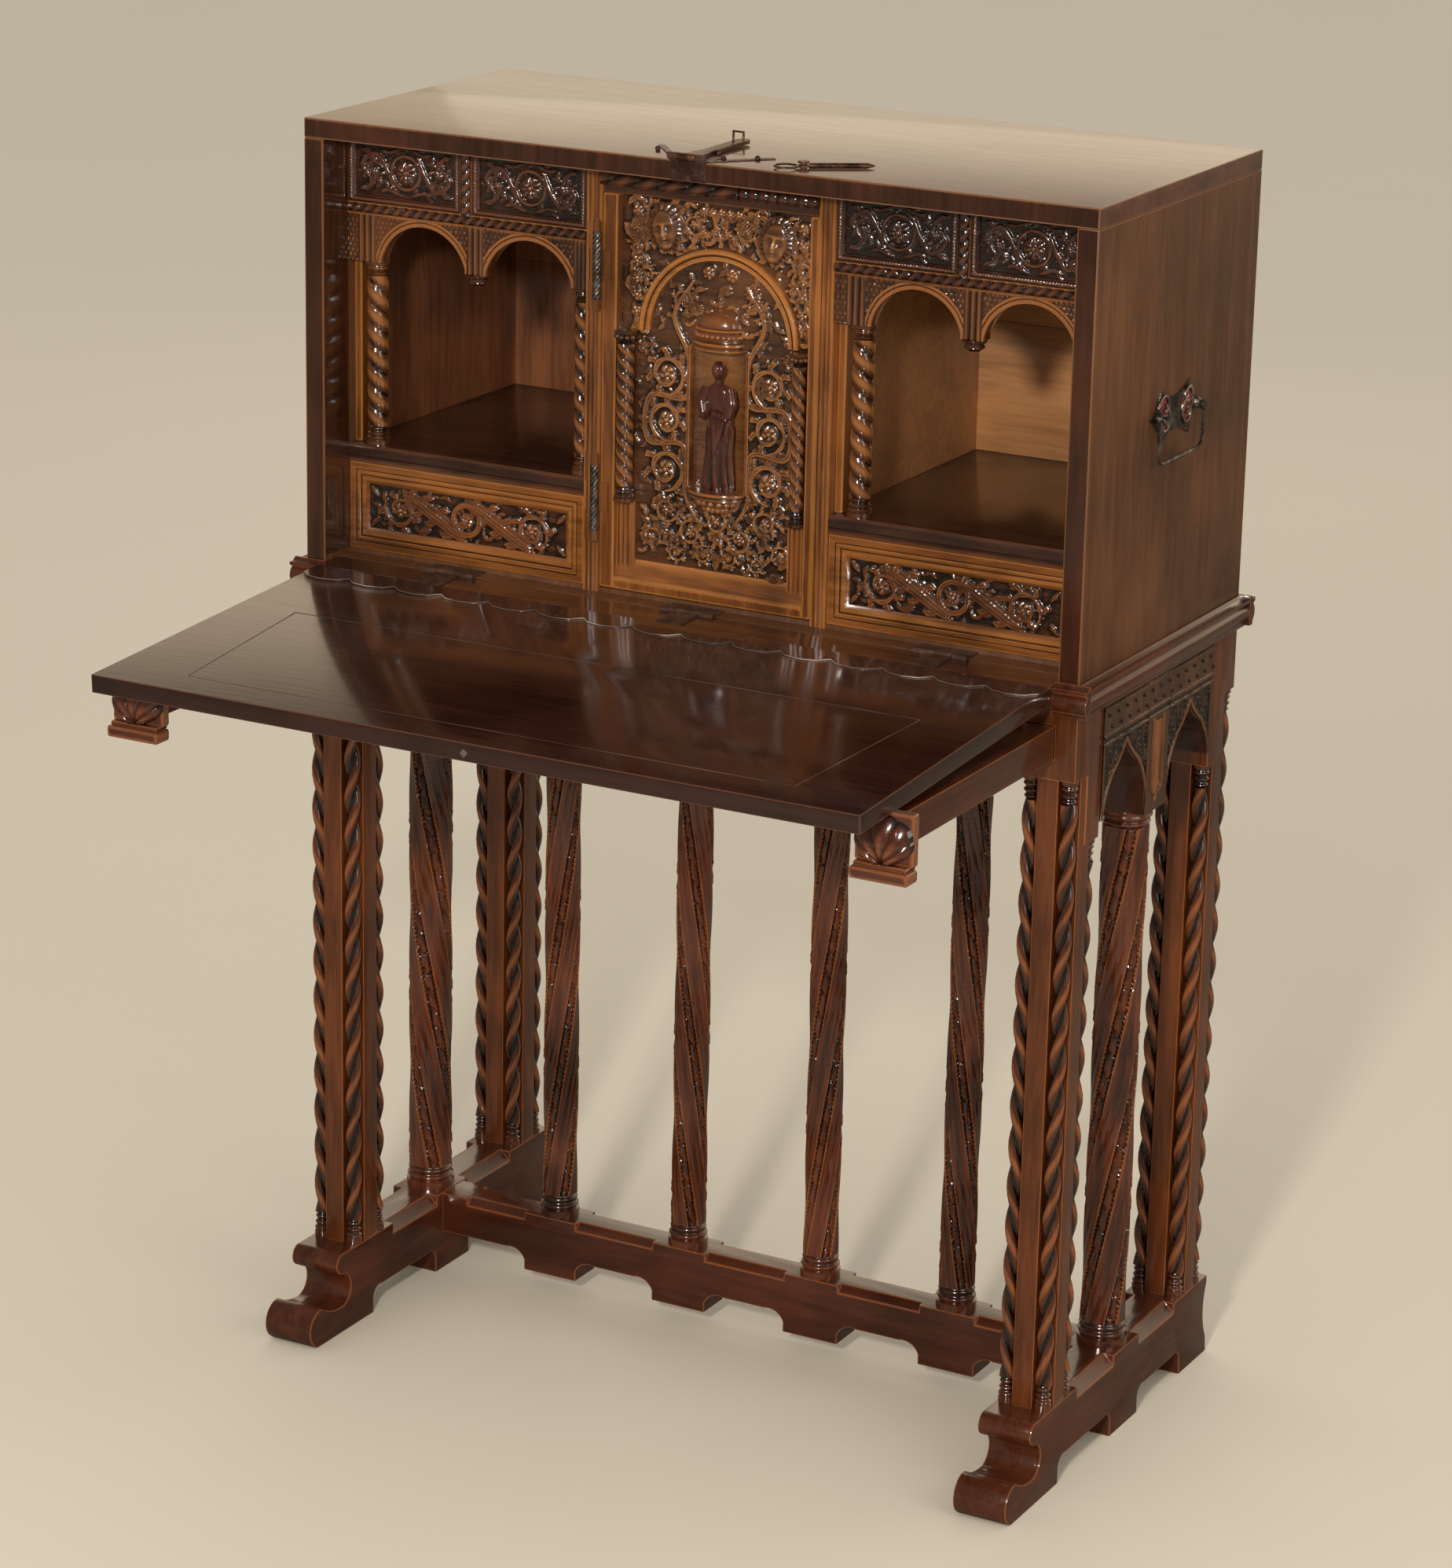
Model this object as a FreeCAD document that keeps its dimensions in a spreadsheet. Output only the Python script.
import FreeCAD, Part
import math
import os

import Sketcher

# Vargueno: a fall-front writing chest of carved walnut on a bridge stand.
# Frame: X to the right, Y to the back, Z up, millimetres. The origin is on the floor, in the middle of
# the whole piece with its fall open. Heights of the chest are counted from the top of the rim moulding.

DRIVING = {
    # whole piece
    "chest_width": 940, "chest_depth": 420, "chest_height": 490, "stand_height": 910,
    "fit_gap": 0.3, "seat_gap": 0.2, "run_gap": 0.8, "overrun": 6,
    # chest boards
    "side_board": 24, "top_board": 22, "bottom_board": 24, "back_board": 14,
    "facade_recess": 50, "run_board": 5, "divider_board": 19, "door_opening": 259, "door_shift": 4,
    # fall and its hinges
    "fall_length": 464, "fall_board_thick": 20, "fall_droop": 3, "fall_side_gap": 1.2,
    "hinge_line": 24, "bottom_set_back": 2, "hinge_knuckle": 4, "hinge_pin": 1.6, "hinge_bore": 2.1,
    "hinge_spread": 300, "hinge_length": 64, "hinge_leaf": 1.5, "hinge_leaf_reach": 42, "hinge_eye": 30,
    "strap_thick": 0.8, "strap_reach": 24, "strap_lobe": 58, "strap_lobe_depth": 14, "strap_set_back": 44,
    "staple_slot_wide": 10, "staple_slot_long": 30, "staple_slot_deep": 12,
    # bays and drawers
    "bay_floor_low": 104, "bay_floor_top": 124, "bay_ceiling_low": 384, "bay_ceiling_top": 394,
    "rope_bead": 5, "drawer_rail": 13, "drawer_wall": 9, "drawer_floor": 7, "drawer_front": 18,
    "drawer_depth": 345, "low_frame": 24, "high_frame": 8, "panel_sink": 5, "frame_step": 6,
    "arcade_thick": 15, "arch_crown_drop": 9, "arch_spring_drop": 50, "arcade_drop": 54, "wide_block": 44,
    "pendant_width": 26, "narrow_block": 18, "pendant_drop": 12,
    "colonette_radius": 14, "colonette_waist": 10, "colonette_inset": 28, "colonette_end_inset": 16,
    "colonette_setback": 16,
    "colonette_pitch": 52, "colonette_base": 16, "colonette_cap": 14,
    # door
    "door_height_top": 437, "door_floor_gap": 1, "door_thick": 28, "door_ground_sink": 12,
    "door_left_stile": 17, "door_right_stile": 10, "door_sill": 27, "door_sill_slope": 10,
    "door_band_radius": 96, "door_band_width": 13,
    "door_band_proud": 9, "door_band_spring": 293, "door_band_shift": 8, "niche_width": 66,
    "niche_low": 128, "niche_high": 282, "niche_sink": 10,
    "door_column_radius": 10.5, "door_column_low": 105, "door_column_high": 292, "door_column_pitch": 46,
    "door_column_waist": 7.6, "barrel_radius": 4.5, "barrel_stand_off": 6, "barrel_edge": 3,
    "barrel_high_low": 311, "barrel_high_top": 407, "barrel_low_low": 58, "barrel_low_top": 154,
    "barrel_leaf": 14, "figure_height": 142, "figure_radius": 19, "canopy_radius": 31, "canopy_height": 62,
    "pedestal_radius": 34, "pedestal_height": 16,
    # stand: feet and stretcher
    "foot_width": 62, "foot_height": 97, "foot_toe": 97, "foot_heel": 23, "foot_arch": 30,
    "foot_front_pad": 133, "foot_rear_pad": 78, "foot_mid_pad": 74, "foot_chamfer": 13,
    "stretcher_thick": 46, "stretcher_low": 48, "stretcher_drop": 24, "stretcher_block": 70,
    "stretcher_chamfer": 9,
    # stand: posts and their rope colonettes
    "post_depth": 66, "post_notch": 19.2, "post_strip_sink": 1.5, "rope_radius": 9.4, "rope_waist": 6.2,
    "rope_pitch": 91, "rope_base": 28, "rope_cap": 26, "post_head": 82, "post_impost": 157,
    # stand: spiral columns
    "end_column_radius": 25.5, "bridge_column_radius": 20.5, "column_ring": 3, "column_base": 26,
    "column_cap": 20, "column_lead": 780, "bridge_column_gap": 173, "column_hollow": 5.6,
    # stand: head frame
    "chest_seat": 24, "arcade_low": 190, "rail_thick": 24, "arch_apex": 92, "arch_springing": 165,
    "arch_pier": 4, "centre_block": 56, "bridge_thick": 46, "flute_width": 18,
    "flute_deep": 4, "flute_margin": 12,
    "rim_out": 14, "rim_height": 34, "rim_return": 25, "rim_step": 5,
    # lopers
    "loper_width": 33, "loper_height": 36, "loper_drop": 48, "loper_inset": 25, "loper_reach": 384,
    "loper_travel": 350, "head_width": 63, "head_depth": 26, "head_height": 68, "head_shift": 8,
    "plinth_height": 17, "plinth_step": 3, "shell_radius": 29, "shell_depth": 13,
    # ironwork on the top
    "hasp_width": 42, "hasp_tip": 14, "hasp_length": 130, "hasp_thick": 4, "hasp_axis_out": 5,
    "hasp_axis_up": 5, "hasp_knuckle": 4, "hasp_leaf": 1.5, "hasp_leaf_drop": 21, "hasp_top_leaf": 34,
    "hasp_shift": 5, "staple_height": 12, "staple_wire": 2, "staple_width": 14, "staple_at": 112,
    "strap_bar_width": 7, "strap_bar_long": 74, "strap_bar_angle": 40,
    "pin_radius": 3, "pin_length": 60, "pin_ring": 12, "pin_tip": 8, "pin_eye_wire": 2, "pin_height": 3.2,
    "pin_place": 124, "pin_inset": 28, "pin_turn": 35, "eye_radius": 6,
    # side handles
    "handle_plate_long": 122, "handle_plate_high": 58, "handle_plate_thick": 2.5, "handle_post_radius": 5,
    "handle_post_out": 13, "handle_spread": 96, "bail_wire": 4, "bail_drop": 46, "bail_swell": 6,
    "bail_corner": 12, "handle_rise": 245,
}

# Shares: outlines and turned profiles as shares of the named sizes that carry them.
# A rope section has four points: two on the strands and two in the hollows between them.
ROPE_TURN_STEPS = 6
ROPE_RING_SIDES = 6
COLUMN_TURN_STEPS = 16
COLUMN_LOBES = 4
# radius shares round one lobe of a spiral column: both edges of its band, then the hollow (0 = its floor)
COLUMN_LOBE_SHARES = (1.0, 1.0, 0.0)
# sides of thin bars and of the small bosses
THIN_SIDES = 12
# turned bases and caps, from the foot up: (height share, radius share)
TURNED_BASE_SHARES = ((0.0, 1.0), (0.34, 1.0), (0.44, 0.86), (0.72, 0.98), (1.0, 0.82))
TURNED_CAP_SHARES = ((0.0, 0.82), (0.28, 0.96), (0.52, 0.86), (0.72, 1.0), (1.0, 1.0))
# robe, shoulders and head of the niche figure: (height share, half width share, half depth share)
FIGURE_SHARES = (
    (0.0, 0.80, 0.42), (0.06, 0.86, 0.44), (0.30, 0.74, 0.38), (0.52, 0.80, 0.42), (0.70, 0.98, 0.46),
    (0.79, 0.88, 0.42), (0.84, 0.30, 0.28), (0.87, 0.36, 0.34), (0.93, 0.42, 0.40), (0.98, 0.30, 0.30),
    (1.0, 0.10, 0.10),
)
CANOPY_SHARES = (
    (0.0, 0.96), (0.16, 0.96), (0.20, 0.84), (0.34, 0.84), (0.38, 0.98), (0.44, 0.92), (0.62, 0.74),
    (0.76, 0.40), (0.82, 0.12), (0.88, 0.16), (1.0, 0.03),
)
PEDESTAL_SHARES = ((0.0, 0.42), (0.35, 0.70), (0.60, 0.92), (1.0, 1.0))
PENDANT_SHARES = ((0.0, 0.12), (0.35, 0.62), (0.62, 0.55), (0.72, 0.95), (1.0, 1.0))
# one lobe of the fall's scalloped strap: (share across, share of its depth)
LOBE_SHARES = ((0.18, 0.72), (0.5, 1.0), (0.82, 0.72), (1.0, 0.0))
SHELL_RIBS = 9
SHELL_RINGS = 4
# a shell: radius of its middle and what the ribs add to the rim, crest of a rib, curve of its swell
SHELL_MIDDLE_SHARE = 0.14
SHELL_REACH_SHARE = 0.80
SHELL_RIB_SHARE = 0.07
SHELL_CREST_SHARE = 0.14
SHELL_CURVE_SHARE = 1.6
SHELL_BACK_SHARES = (0.7, 0.06)
# sled foot: tops of its two rolls, where the nose starts in the toe, and where the toe touches the floor
FOOT_ROLL_SHARES = (0.46, 0.84)
FOOT_NOSE_SHARE = 0.62
FOOT_TOE_SHARE = 0.35
# one end of a low arch in the foot: top of its upright, end of its curve, and (across, up) of the middle
FOOT_UPRIGHT_SHARE = 0.62
FOOT_CURVE_SHARE = 0.6
FOOT_BEND_SHARES = (0.12, 0.88)
# drawn-in heel from its foot up: (share of the heel, share of the height)
HEEL_SHARES = ((0.1, 0.2), (0.55, 0.5), (0.3, 0.9))
# double roll from the top down: (share of the height across, share of the level it belongs to)
ROLL_SHARES = ((0.12, 1.0), (0.04, 1.06), (0.06, 0.88), (0.26, 0.5), (0.10, 0.72), (0.06, 0.74), (0.26, 1.0))
CHAMFER_STOP_SHARE = 1.35
# a curl beside a dropped block of the stretcher: its length, then its middle (across, up)
STRETCHER_CURL_SHARES = (2, 0.5, 0.3)
COLUMN_PLACE_SHARES = (-1.5, -0.5, 0.5, 1.5)
# one side of an ogee arch from its springing to its crown: (share of the half width, share of the rise)
ARCH_SHARES = ((0.14, 0.38), (0.45, 0.62), (0.80, 0.80))
# rim moulding, in steps: foot of the cove, the edge's low and high corner, the top's (across, down) and end
RIM_SHARES = (2, 1.5, 0.7, 1.4, 0.6)
PLINTH_ROUND_SHARE = 0.9
HALF_TURNED_DEPTH_SHARE = 0.62
# hasp: how much of its thickness lies under and over the axis, and where its shoulder ends
HASP_THICK_SHARES = (0.75, 0.25)
HASP_SHOULDER_SHARE = 1.1
PIN_TIP_SHARE = 0.25
# side plate: (across) of its horns and waist, (up) of its waist and of its hollow edges
PLATE_SHARES = (0.6, 0.72, 0.4)
HANDLE_HOLE_SHARE = 0.6
BAIL_SWELL_SHARES = (0.5, 0.25)
BAIL_THICK_SHARE = 0.55


class Size:
    """A length that knows its number and the words that bind it to the spreadsheet."""

    def __init__(self, value, words):
        self.value = float(value)
        self.words = words

    @staticmethod
    def of(thing):
        return thing if isinstance(thing, Size) else Size(thing, repr(thing))

    def joined(self, other, sign, value):
        return Size(value, f"({self.words} {sign} {other.words})")

    def __add__(self, other):
        other = Size.of(other)
        return self.joined(other, "+", self.value + other.value)

    def __sub__(self, other):
        other = Size.of(other)
        return self.joined(other, "-", self.value - other.value)

    def __mul__(self, other):
        other = Size.of(other)
        return self.joined(other, "*", self.value * other.value)

    def __truediv__(self, other):
        other = Size.of(other)
        return self.joined(other, "/", self.value / other.value)

    def __radd__(self, other):
        return Size.of(other) + self

    def __rsub__(self, other):
        return Size.of(other) - self

    def __rmul__(self, other):
        return Size.of(other) * self

    def __neg__(self):
        return Size(-self.value, f"(-{self.words})")

    def sine(self):
        return Size(math.sin(math.radians(self.value)), f"sin({self.words})")

    def cosine(self):
        return Size(math.cos(math.radians(self.value)), f"cos({self.words})")


ZERO = Size(0, "0")

doc = FreeCAD.newDocument("Vargueno")
sheet = doc.addObject("Spreadsheet::Sheet", "Sizes")
for row, (alias, number) in enumerate(DRIVING.items(), start=1):
    sheet.set(f"A{row}", alias)
    sheet.set(f"B{row}", str(number))
    sheet.setAlias(f"B{row}", alias)
doc.recompute()


def size(alias):
    return Size(sheet.get(alias), f"Sizes.{alias}")


class Named:
    """Every driving size as an attribute."""

    def __getattr__(self, alias):
        return size(alias)


s = Named()
V = FreeCAD.Vector
nodes = []

# Places that several pieces share
seat_level = s.stand_height - s.chest_seat
bay_left_wall = -s.chest_width / 2 + s.side_board
bay_right_wall = s.chest_width / 2 - s.side_board
inner_top = s.stand_height + s.chest_height - s.top_board
back_face = s.chest_depth - s.back_board
door_left = s.door_shift - s.door_opening / 2
door_right = s.door_shift + s.door_opening / 2
middle_depth = s.chest_depth / 2
stand_side = s.chest_width / 2 - s.foot_width / 2
fall_reach = s.fall_length * s.fall_droop.cosine() - s.hinge_line
rear_reach = s.chest_depth + s.foot_heel
front_plane = (fall_reach - rear_reach) / 2


def bind(thing, property_name, amount):
    thing.setExpression(property_name, Size.of(amount).words)


def place(thing, x, y, z):
    """Put an object at x, y, z, where y is counted back from the chest's front edge."""
    for axis, amount in zip("xyz", (x, front_plane + y, z)):
        bind(thing, f"Placement.Base.{axis}", amount)
    return thing


def name_node(thing, label):
    thing.Label = label
    nodes.append(thing)
    return thing


def block(name, low, high):
    """A board between two corners."""
    box = doc.addObject("Part::Box", name)
    for side, a, b in zip(("Length", "Width", "Height"), low, high):
        bind(box, side, Size.of(b) - Size.of(a))
    return place(box, *low)


def straight_bar(name, radius, length, sides):
    """A straight bar along +Z: truly round, or with a number of flats where it is thin."""
    piece = doc.addObject("Part::Prism" if sides else "Part::Cylinder", name)
    if sides:
        piece.Polygon = sides
    bind(piece, "Circumradius" if sides else "Radius", radius)
    bind(piece, "Height", length)
    return piece


def rod(name, radius, length, at, along="z", sides=THIN_SIDES):
    """A bar that starts at a point and runs along +X, +Y or +Z."""
    turns = {"x": (V(0, 1, 0), 90), "y": (V(1, 0, 0), -90), "z": (V(0, 0, 1), 0)}
    piece = straight_bar(name, radius, length, sides)
    piece.Placement = FreeCAD.Placement(V(0, 0, 0), FreeCAD.Rotation(*turns[along]))
    return place(piece, *at)


def cut(name, base, tools):
    """The base with every tool taken out of it."""
    tool = tools[0]
    if len(tools) > 1:
        tool = join(f"{name}_tools", tools)
    result = doc.addObject("Part::Cut", name)
    result.Base = base
    result.Tool = tool
    return result


def join(name, pieces):
    result = doc.addObject("Part::MultiFuse", name)
    result.Shapes = pieces
    result.Refine = True
    return result


def group(name, pieces):
    """Separate solids that share one node."""
    result = doc.addObject("Part::Compound", name)
    result.Links = pieces
    return result


def same(a, b):
    return (a - b).Length < 1e-5


def draw(body, name, role, corners, lift=None):
    """A closed outline on an origin plane of its own body.

    A corner is (across, up), or (across, up, (across, up)) where an arc that passes through the third
    pair leads to it from the corner before. Every corner is bound to the spreadsheet.
    """
    sketch = body.newObject("Sketcher::SketchObject", name)
    plane = next(f for f in body.Origin.OriginFeatures if f.Role == role)
    sketch.AttachmentSupport = [(plane, "")]
    sketch.MapMode = "FlatFace"
    if lift is not None:
        bind(sketch, "AttachmentOffset.Base.z", lift)
    spots = [V(Size.of(c[0]).value, Size.of(c[1]).value, 0) for c in corners]
    shapes = []
    for i, corner in enumerate(corners):
        start, end = spots[i - 1], spots[i]
        if len(corner) == 3:
            through = V(Size.of(corner[2][0]).value, Size.of(corner[2][1]).value, 0)
            leftward = (through - start).cross(end - through).z > 0
            shapes.append(Part.Arc(*((start, through, end) if leftward else (end, through, start))))
        else:
            shapes.append(Part.LineSegment(start, end))
    sketch.addGeometry(shapes, False)

    def hold(geometry, point, spot, tag):
        """Bind one point of the sketch to the spreadsheet, both ways."""
        for kind, amount in zip(("DistanceX", "DistanceY"), spot):
            amount = Size.of(amount)
            key = sketch.addConstraint(Sketcher.Constraint(kind, geometry, point, amount.value))
            sketch.renameConstraint(key, f"{kind}_{tag}")
            sketch.setExpression(f"Constraints.{kind}_{tag}", amount.words)

    ends = []
    for i in range(len(corners)):
        first = sketch.getPoint(i, 1)
        ends.append((1, 2) if same(first, spots[i - 1]) else (2, 1))
    for i, corner in enumerate(corners):
        after = (i + 1) % len(corners)
        sketch.addConstraint(Sketcher.Constraint("Coincident", i, ends[i][1], after, ends[after][0]))
        hold(i, ends[i][1], corner[:2], f"{i}")
        if len(corner) == 3:
            mark = sketch.addGeometry(Part.Point(V(*[Size.of(c).value for c in corner[2]], 0)), True)
            hold(mark, 1, corner[2], f"{i}_through")
            sketch.addConstraint(Sketcher.Constraint("PointOnObject", mark, 1, i))
    return sketch


def pad(body, name, role, corners, thick, lift=None, kind="PartDesign::Pad"):
    """Extrude an outline evenly to both sides of its plane, as a pad or as a pocket."""
    sketch = draw(body, f"{name}_outline", role, corners, lift)
    feature = body.newObject(kind, name)
    feature.Profile = sketch
    feature.Midplane = True
    bind(feature, "Length", thick)
    return feature


def new_body(name, at):
    body = doc.addObject("PartDesign::Body", name)
    return place(body, *at)


def oblong(x0, x1, z0, z1):
    return [(x0, z0), (x1, z0), (x1, z1), (x0, z1)]


def mirrored(corners):
    """The same outline with its first coordinate turned round, in the opposite order."""
    flipped = []
    for i, corner in enumerate(corners):
        spot = (-Size.of(corner[0]), corner[1])
        after = corners[(i + 1) % len(corners)]
        if len(after) == 3:
            spot += ((-Size.of(after[2][0]), after[2][1]),)
        flipped.append(spot)
    return flipped[::-1]


def skin(name, rings, at, turn=0.0, axis=V(0, 0, 1)):
    """A solid whose skin runs through closed rings of points, flat between neighbours."""
    count = len(rings[0])
    points = [V(*p) for ring in rings for p in ring]
    last = (len(rings) - 1) * count
    faces = []
    for k in range(len(rings) - 1):
        for j in range(count):
            a, b = k * count + j, k * count + (j + 1) % count
            faces += [(a, b, b + count), (a, b + count, a + count)]
    for j in range(1, count - 1):
        faces += [(0, j + 1, j), (last, last + j, last + j + 1)]
    shape = Part.Shape()
    shape.makeShapeFromMesh((points, faces), 1e-4)
    solid = Part.Solid(shape)
    if solid.Volume < 0:
        solid = Part.Solid(shape.reversed())
    piece = doc.addObject("Part::Feature", name)
    piece.Shape = solid
    piece.Placement = FreeCAD.Placement(V(0, 0, 0), FreeCAD.Rotation(axis, turn))
    return place(piece, *at)


def ring(height, radii, turn=0.0, squash=1.0):
    """One level ring of points: radii in turn round the axis, started at an angle in degrees."""
    step = 360.0 / len(radii)
    angles = [math.radians(turn + step * j) for j in range(len(radii))]
    return [(r * math.cos(a), squash * r * math.sin(a), height) for r, a in zip(radii, angles)]


def turned(shares, height, radius, sides, base=0.0, squash=1.0):
    """Rings of a turned profile given as shares of its height and radius."""
    return [ring(base + h * height, [r * radius] * sides, 0.0, squash) for h, r in shares]


def rope_rings(length, radius, waist, pitch, sides_per_turn, base=0.0):
    """Rings of a two-strand rope: the long way of the section turns once in a pitch."""
    steps = max(2, round(length / pitch * sides_per_turn))
    turn = 360.0 * length / pitch / steps
    return [
        ring(base + length * k / steps, [radius, waist, radius, waist], turn * k)
        for k in range(steps + 1)
    ]


def rope_colonette(name, height, radius, waist, pitch, base, cap, at, hand=1):
    """A rope-twist colonette with a turned base and cap, as three solids that stand on each other."""
    shaft = height - base - cap
    foot = skin(f"{name}_base", turned(TURNED_BASE_SHARES, base.value, radius.value, ROPE_RING_SIDES), at)
    x, y, z = at
    rings = rope_rings(shaft.value, radius.value, waist.value, hand * pitch.value, hand * ROPE_TURN_STEPS)
    rope = skin(f"{name}_rope", rings, (x, y, z + base))
    cap_rings = turned(TURNED_CAP_SHARES, cap.value, radius.value, ROPE_RING_SIDES)
    head = skin(f"{name}_cap", cap_rings, (x, y, z + base + shaft))
    return [foot, rope, head]


def spiral_column(name, height, radius, hand, at):
    """A column with four slow convex bands and four hollows, on a turned base and under a cap."""
    base, cap, out = s.column_base, s.column_cap, radius + s.column_ring
    shaft = height - base - cap
    sides = COLUMN_LOBES * len(COLUMN_LOBE_SHARES)
    hollow = 1.0 - (s.column_hollow / radius).value
    lobe = [share if share else hollow for share in COLUMN_LOBE_SHARES]
    section = [radius.value * share for share in lobe] * COLUMN_LOBES
    steps = max(2, round(shaft.value / s.column_lead.value * COLUMN_TURN_STEPS))
    turn = hand * 360.0 * shaft.value / s.column_lead.value / steps
    rings = turned(TURNED_BASE_SHARES, base.value, out.value, sides)
    rings += [ring((base + shaft * k / steps).value, section, turn * k) for k in range(steps + 1)]
    rings += turned(TURNED_CAP_SHARES, cap.value, out.value, sides, (base + shaft).value)
    return skin(name, rings, at)


def tube(name, path, radii, sides, at, turn=0.0, axis=V(0, 0, 1)):
    """A round wire along a flat path of points in the YZ plane."""
    rings = []
    for i, (y, z) in enumerate(path):
        before, after = path[max(i - 1, 0)], path[min(i + 1, len(path) - 1)]
        dy, dz = after[0] - before[0], after[1] - before[1]
        span = math.hypot(dy, dz)
        ny, nz = -dz / span, dy / span
        r = radii[i]
        circle = [(math.cos(math.tau * j / sides), math.sin(math.tau * j / sides)) for j in range(sides)]
        rings.append([(r * c, y + r * q * ny, z + r * q * nz) for c, q in circle])
    return skin(name, rings, at, turn, axis)


# Stand: the feet


def foot_outline():
    """Side view of a sled foot: a double roll in front, two low arches, a drawn-in heel."""
    toe, heel, top, arch = -s.foot_toe, rear_reach, s.foot_height, s.foot_arch
    low_roll, high_roll = [s.foot_height * share for share in FOOT_ROLL_SHARES]
    front_pad_end, rear_pad_start = toe + s.foot_front_pad, heel - s.foot_rear_pad
    mid_start, mid_end = middle_depth - s.foot_mid_pad / 2, middle_depth + s.foot_mid_pad / 2
    nose = toe + s.foot_toe * FOOT_NOSE_SHARE
    upright, curve = arch * FOOT_UPRIGHT_SHARE, arch * FOOT_CURVE_SHARE
    bend, crown = [arch * share for share in FOOT_BEND_SHARES]
    heel_foot, heel_waist, heel_head = [(heel - s.foot_heel * a, top * b) for a, b in HEEL_SHARES]
    brow, brow_round, brow_end, throat_round, throat, lip_round, lip = ROLL_SHARES
    return [
        (toe + low_roll * FOOT_TOE_SHARE, ZERO),
        (front_pad_end, ZERO),
        (front_pad_end, upright),
        (front_pad_end + curve, arch, (front_pad_end + bend, crown)),
        (mid_start - curve, arch),
        (mid_start, upright, (mid_start - bend, crown)),
        (mid_start, ZERO),
        (mid_end, ZERO),
        (mid_end, upright),
        (mid_end + curve, arch, (mid_end + bend, crown)),
        (rear_pad_start - curve, arch),
        (rear_pad_start, upright, (rear_pad_start - bend, crown)),
        (rear_pad_start, ZERO),
        (heel, ZERO),
        heel_foot,
        (*heel_head, heel_waist),
        (heel_head[0], top),
        (nose + top * brow[0], top),
        (nose + top * brow_end[0], high_roll * brow_end[1],
         (nose - top * brow_round[0], high_roll * brow_round[1])),
        (nose + top * throat[0], low_roll * throat[1], (nose + top * throat_round[0], top * throat_round[1])),
        (toe + top * lip[0], low_roll, (nose - top * lip_round[0], low_roll * lip_round[1])),
        (toe + low_roll * FOOT_TOE_SHARE, ZERO, (toe, low_roll / 2)),
    ][:-1]


for side, name in ((-1, "left_foot"), (1, "right_foot")):
    foot = new_body(name, (side * stand_side, ZERO, ZERO))
    corners = foot_outline()
    toe_middle = s.foot_height * FOOT_ROLL_SHARES[0] / 2
    start = (corners[0][0], corners[0][1], (-s.foot_toe, toe_middle))
    pad(foot, f"{name}_slab", "YZ_Plane", [start] + corners[1:], s.foot_width)
    slope = s.foot_chamfer
    for number, span_start in enumerate((s.post_depth, middle_depth)):
        stop = s.end_column_radius * CHAMFER_STOP_SHARE
        gap_from = span_start + stop if number else span_start + slope
        gap_to = s.chest_depth - s.post_depth - slope if number else middle_depth - stop
        middle, length = (gap_from + gap_to) / 2, gap_to - gap_from
        for edge in (-1, 1):
            rim = edge * s.foot_width / 2
            wedge = [
                (rim, s.foot_height - slope),
                (rim + edge * s.overrun, s.foot_height - slope - s.overrun),
                (rim + edge * s.overrun, s.foot_height + s.overrun),
                (rim - edge * (slope + s.overrun), s.foot_height + s.overrun),
                (rim - edge * slope, s.foot_height),
            ]
            pad(foot, f"{name}_chamfer_{number}_{edge + 1}", "XZ_Plane", wedge, length, -middle,
                "PartDesign::Pocket")
    name_node(foot, name)

# Stand: the stretcher, with a dropped block under each of the four bridge columns

column_places = [s.bridge_column_gap * step for step in COLUMN_PLACE_SHARES]
stretcher_end = s.chest_width / 2 - s.foot_width
stretcher = new_body("stretcher", (ZERO, middle_depth, ZERO))
curl = s.stretcher_drop / 2
curl_long, curl_middle, curl_rise = [curl * share for share in STRETCHER_CURL_SHARES]
under = [(-stretcher_end, s.stretcher_low)]
for x in column_places:
    left, right = x - s.stretcher_block / 2, x + s.stretcher_block / 2
    under += [
        (left - curl_long, s.stretcher_low),
        (left, s.stretcher_low - curl, (left - curl_middle, s.stretcher_low - curl_rise)),
        (left, s.stretcher_low - s.stretcher_drop),
        (right, s.stretcher_low - s.stretcher_drop),
        (right, s.stretcher_low - curl),
        (right + curl_long, s.stretcher_low, (right + curl_middle, s.stretcher_low - curl_rise)),
    ]
under += [(stretcher_end, s.stretcher_low), (stretcher_end, s.foot_height), (-stretcher_end, s.foot_height)]
pad(stretcher, "stretcher_board", "XZ_Plane", under, s.stretcher_thick)
hollow_ends = [-stretcher_end] + column_places + [stretcher_end]
for number, (a, b) in enumerate(zip(hollow_ends[:-1], hollow_ends[1:])):
    margin = s.stretcher_block / 2
    middle, length = (a + b) / 2, b - a - 2 * margin
    for edge in (-1, 1):
        rim, slope = edge * s.stretcher_thick / 2, s.stretcher_chamfer
        wedge = [
            (rim, s.foot_height - slope),
            (rim + edge * s.overrun, s.foot_height - slope - s.overrun),
            (rim + edge * s.overrun, s.foot_height + s.overrun),
            (rim - edge * (slope + s.overrun), s.foot_height + s.overrun),
            (rim - edge * slope, s.foot_height),
        ]
        pad(stretcher, f"stretcher_chamfer_{number}_{edge + 1}", "YZ_Plane", wedge, length, middle,
            "PartDesign::Pocket")
name_node(stretcher, "stretcher")

# Stand: the posts. A cross-shaped core leaves a square corner for each rope colonette.
# The head is a plain block with a mortise that the loper slides through.


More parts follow.
